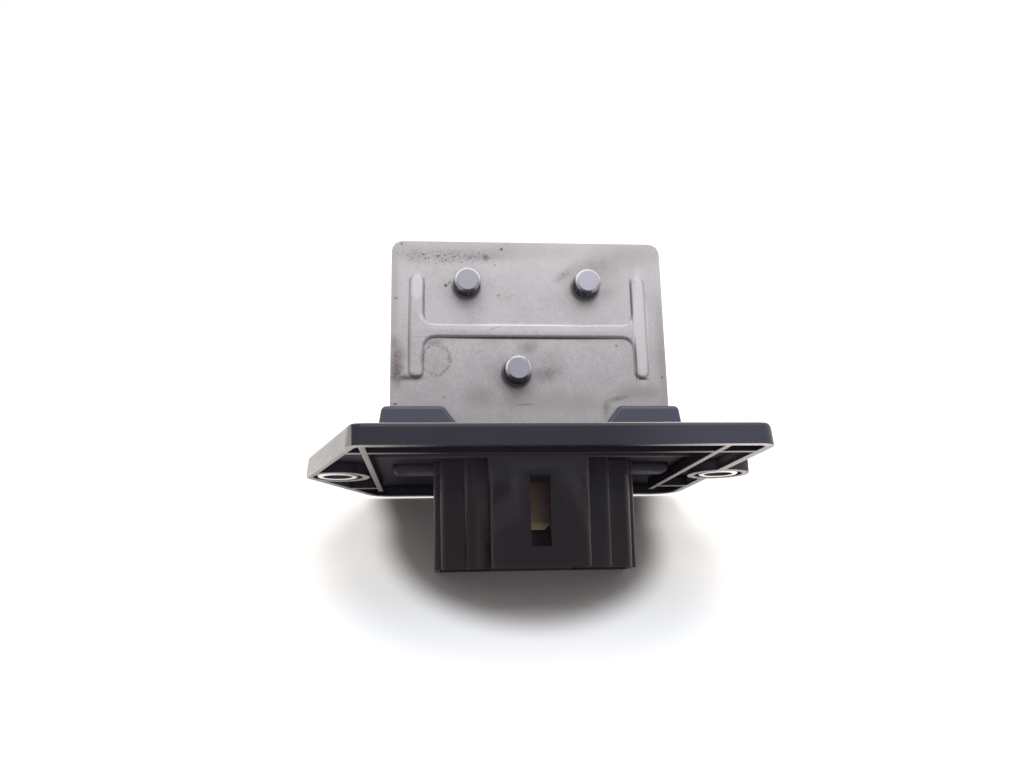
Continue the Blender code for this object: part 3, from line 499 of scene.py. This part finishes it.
def rivetLook():
    # pressed faces, a painted highlight round the upper half of each chamfer, and grimy streaked
    # sides
    tree = Tree("rivetSteel")
    x, y, z = tree.axes()
    fine = tree.noise(0.25 * mm, 4, 0.6)
    streak = tree.noise(0.45 * mm, 3, 0.6, at=tree.stretched((1, 0.1, 1)))
    tail = y.over(rivet["tail"])
    out = y.over(rivet["chamfer"]).larger(tail)
    flat = y.over(rivet["flat"]).larger(tail)
    grimy = tuple(c * 0.25 for c in rivet["side"])
    side = tree.colour(streak.ramp(0.42, 0.68), grimy, rivet["side"])
    lighter = x.over(rivet["right"]) * 0.7 + z.over(rivet["upper"]) * 0.3 + (fine - 0.5) * 0.5
    face = tree.colour(lighter, rivet["dull"], rivet["face"])
    middle = z.over(rivet["between"]) * ((rivet["upperZ"] - rivet["lowerZ"]) * mm)
    middle = middle + rivet["lowerZ"] * mm
    # painted highlight up each chamfer's upper half
    chamfer = tree.colour((z - middle).over(rivet["highlit"]), rivet["dull"], rivet["edge"])
    pressed = tree.colour(flat, chamfer, face)
    tree.set(Base_Color=tree.colour(out, side, pressed), Metallic=0.75)
    tree.set(Roughness=0.45 + (fine - 0.5) * 0.25 + (1 - out) * 0.15 - out * (1 - flat) * 0.15)
    tree.set(Normal=tree.bump(fine, 0.01 * mm, 0.5))
    return tree.material


bushing = {"rim": (0.82, 0.81, 0.82), "bore": (0.025, 0.022, 0.025), "screwX": 33.85,
           "outside": (2.5, 2.58)}


def bushingLook():
    # a bright rim round a bore whose dark inside is painted shade
    tree = Tree("bushingSteel")
    x, y, _ = tree.axes()
    fine = tree.noise(0.3 * mm, 4, 0.6)
    across = x.math("ABSOLUTE", x) - bushing["screwX"] * mm
    reach = (across * across + y * y) ** 0.5
    outside = reach.over(bushing["outside"])
    steel = tree.colour(outside, bushing["bore"], bushing["rim"])
    tree.set(Base_Color=steel, Metallic=outside * 0.9)
    tree.set(Roughness=0.7 - outside * 0.38 + (fine - 0.5) * 0.2)
    tree.set(Normal=tree.bump(fine, 0.01 * mm, 0.4))
    return tree.material


# the first colour is painted light on the tip, the second brass darkened by tarnish and painted
# shade, the third painted shade at the right and the fourth painted fill light at the root's right
blade = {"lit": (0.33, 0.275, 0.17), "deep": (0.22, 0.16, 0.12), "shadedRed": (0.12, 0.085, 0.09),
         "root": (0.23, 0.15, 0.17),
         "tip": (-10.5, -13.4), "edge": (1.2, 2.6), "right": (-0.2, 1.8), "up": (-12.5, -9)}


def bladeLook():
    # brass: painted light on the tip, darker towards the root by tarnish and painted shade, painted
    # shade reddish at the right, and painted fill light at the root's right
    tree = Tree("terminalBrass")
    x, _, z = tree.axes()
    fine = tree.noise(0.25 * mm, 4, 0.6)
    broad = tree.noise(1.5 * mm, 3)
    paintedLight = z.over(blade["tip"]) * (0.5 + broad * 0.8)
    brass = tree.colour(paintedLight, blade["deep"], blade["lit"])
    shadedBrass = tree.colour(x.over(blade["edge"]) * 0.5, brass, blade["shadedRed"])
    root = x.over(blade["right"]) * z.over(blade["up"])
    tree.set(Base_Color=tree.colour(root, shadedBrass, blade["root"]), Metallic=0.75)
    tree.set(Roughness=0.42 + (fine - 0.5) * 0.3)
    tree.set(Normal=tree.bump(fine, 0.01 * mm, 0.4))
    return tree.material


def plainLook(name, colour, roughness, metallic=1.0):
    # for what hardly shows: one material, finely mottled
    tree = Tree(name)
    fine = tree.noise(0.3 * mm, 4, 0.6)
    broad = tree.noise(2 * mm, 3)
    darker = tuple(c * 0.6 for c in colour)
    mottled = tree.colour((fine - 0.5) * 0.8 + broad * 0.4, colour, darker)
    tree.set(Base_Color=mottled, Metallic=metallic)
    tree.set(Roughness=roughness + (fine - 0.5) * 0.2 + (broad - 0.5) * 0.2)
    tree.set(Normal=tree.bump(fine, 0.01 * mm, 0.5))
    return tree.material


looks = {
    "moulding": mouldingLook(),
    "plate": plateLook("rolledPlate", False),
    "mica": plainLook("micaBoard", (0.55, 0.47, 0.34), 0.6, 0.0),
    "grid": plainLook("gridAlloy", (0.45, 0.43, 0.41), 0.4),
    "rivet": rivetLook(),
    "bushing": bushingLook(),
    "terminal": bladeLook(),
    "fuse": plainLook("fuseCase", (0.62, 0.56, 0.44), 0.35),
    "lead": plainLook("tinnedLead", (0.6, 0.6, 0.6), 0.3),
}
for node, slot in slots.items():
    dressed = [pieces[n] for n, f in easing.items() if f["node"] == node] + [frame["nodes"][node]]
    for piece in dressed:
        piece.data.materials.clear()
        piece.data.materials.append(looks[slot])
markedPlate = plateLook("markedPlate", True)
for piece in (pieces["frontHeatPlate"], frame["nodes"]["heat_plate_front"]):
    piece.data.materials[0] = markedPlate
print("looks set")


# Camera, floor and light

# fitted to the photo, with the place and the lens in millimetres
camera = {"at": (-17.205, -155.504, -25.909), "forward": (0.08744, 0.96594, 0.24355),
          "up": (-0.00137, -0.24437, 0.96968), "lens": 31.17, "sensor": 36}


def addCamera():
    data = bpy.data.cameras.new("photoCamera")
    data.lens = camera["lens"]
    data.sensor_width = camera["sensor"]
    data.clip_start = mm
    eye = bpy.data.objects.new("photoCamera", data)
    bpy.context.scene.collection.objects.link(eye)
    back = -Vector(camera["forward"]).normalized()
    up = Vector(camera["up"])
    right = up.cross(back).normalized()
    up = back.cross(right)
    turn = Matrix((right, up, back)).transposed()
    eye.matrix_world = Matrix.Translation(Vector(camera["at"]) * mm) @ turn.to_4x4()
    bpy.context.scene.camera = eye


addCamera()

# the part's soft shade on the floor is partly cast by the lamp and partly painted as an ellipse, in
# millimetres, and its soft steps are in shares of that ellipse: the last two give how much of the
# floor's brightness comes back there
floor = {
    "through": (0, 5.4, -19.8), "slope": 35.2, "size": 900, "colour": (0.96, 0.89, 0.86),
    "cool": (0.92, 0.98, 1.06), "warm": (0.995, 0.978, 0.95), "tinted": (-1.1, -0.35),
    "shade": (-0.1, 18.5, -10.6), "shadeReach": (26.2, 32.2), "behind": (0.355, 0.375),
    "inner": (0.86, 1.14), "outer": (1.25, 1.8),
    "dark": 0.03, "innerShare": 0.56, "outerShare": 0.2,
}


def addFloor():
    # the table leans in the part's own frame: it touches the shroud's and the flange's back edges
    bpy.ops.mesh.primitive_plane_add(size=floor["size"] * mm)
    table = bpy.context.active_object
    table.name = "paleFloor"
    slope = math.radians(floor["slope"])
    through = Matrix.Translation(Vector(floor["through"]) * mm)
    table.data.transform(through @ Matrix.Rotation(slope, 4, "X"))
    tree = Tree("paleFloor")
    path = tree.nodes.new("ShaderNodeLightPath")
    wide, deep = floor["shadeReach"]
    at = tree.node("ShaderNodeMapping", {"vector_type": "TEXTURE"}, tree.place,
                   tuple(c * mm for c in floor["shade"]), (slope, 0, 0), (wide * mm, deep * mm, 1))
    across, along, _ = tree.axes(at)
    beyond = along.ramp(*floor["behind"])
    tint = tree.colour(along.ramp(*floor["tinted"]), floor["cool"], floor["warm"])
    across = across / (1 + along.larger(0) * 0.25)
    along = along.smaller(0)
    away = (across * across + along * along) ** 0.5 + beyond * 2
    # camera and glossy rays see the floor glow, least inside the ellipse: this paints the part's
    # shade, warmer near the part, and ends it just behind the flange's back edge
    looked = Field(tree, path.outputs["Is Camera Ray"])
    looked = looked.larger(Field(tree, path.outputs["Is Glossy Ray"]))
    back = away.ramp(*floor["inner"]) * floor["innerShare"]
    back = back + away.ramp(*floor["outer"]) * floor["outerShare"]
    glow = tree.colour(looked * (floor["dark"] + back), (0, 0, 0), tint)
    tree.set(Base_Color=(*floor["colour"], 1), Roughness=0.9)
    tree.set(Emission_Color=glow, Emission_Strength=1.0)
    clear = tree.nodes.new("ShaderNodeBsdfTransparent")
    behind = tree.nodes.new("ShaderNodeNewGeometry")
    whole = tree.node("ShaderNodeMixShader", {}, Field(tree, behind.outputs["Backfacing"]),
                      Field(tree, tree.shader.outputs[0]), Field(tree, clear.outputs[0]))
    tree.links.new(whole.socket, tree.nodes["Material Output"].inputs["Surface"])
    table.data.materials.append(tree.material)


addFloor()

# the lamp stands square over the floor, but for its lean
light = {"world": 0.30, "lamp": 0.52, "lampSize": 300, "lampDistance": 320,
         "lean": (0.08, -0.06, 0)}


def addLight():
    world = bpy.data.worlds.new("softRoom")
    bpy.context.scene.world = world
    world.use_nodes = True
    nodes, links = world.node_tree.nodes, world.node_tree.links
    sky = nodes["Background"]
    sky.inputs["Color"].default_value = (1, 1, 1, 1)
    path = nodes.new("ShaderNodeLightPath")
    seen = nodes.new("ShaderNodeMath")
    seen.operation = "MAXIMUM"
    links.new(path.outputs["Is Camera Ray"], seen.inputs[0])
    links.new(path.outputs["Is Glossy Ray"], seen.inputs[1])
    level = nodes.new("ShaderNodeMapRange")
    level.inputs["To Min"].default_value = light["world"]
    level.inputs["To Max"].default_value = 1.0
    links.new(seen.outputs[0], level.inputs["Value"])
    links.new(level.outputs[0], sky.inputs["Strength"])
    data = bpy.data.lights.new("softLamp", "AREA")
    data.shape = "DISK"
    data.size = light["lampSize"] * mm
    data.energy = light["lamp"]
    lamp = bpy.data.objects.new("softLamp", data)
    bpy.context.scene.collection.objects.link(lamp)
    lean = math.radians(floor["slope"])
    way = (Vector((0.0, -math.sin(lean), math.cos(lean))) + Vector(light["lean"])).normalized()
    place = Matrix.Translation(way * light["lampDistance"] * mm)
    lamp.matrix_world = place @ way.to_track_quat("Z", "Y").to_matrix().to_4x4()


addLight()
bpy.context.scene.view_settings.view_transform = "Standard"
print("camera, floor and light set")
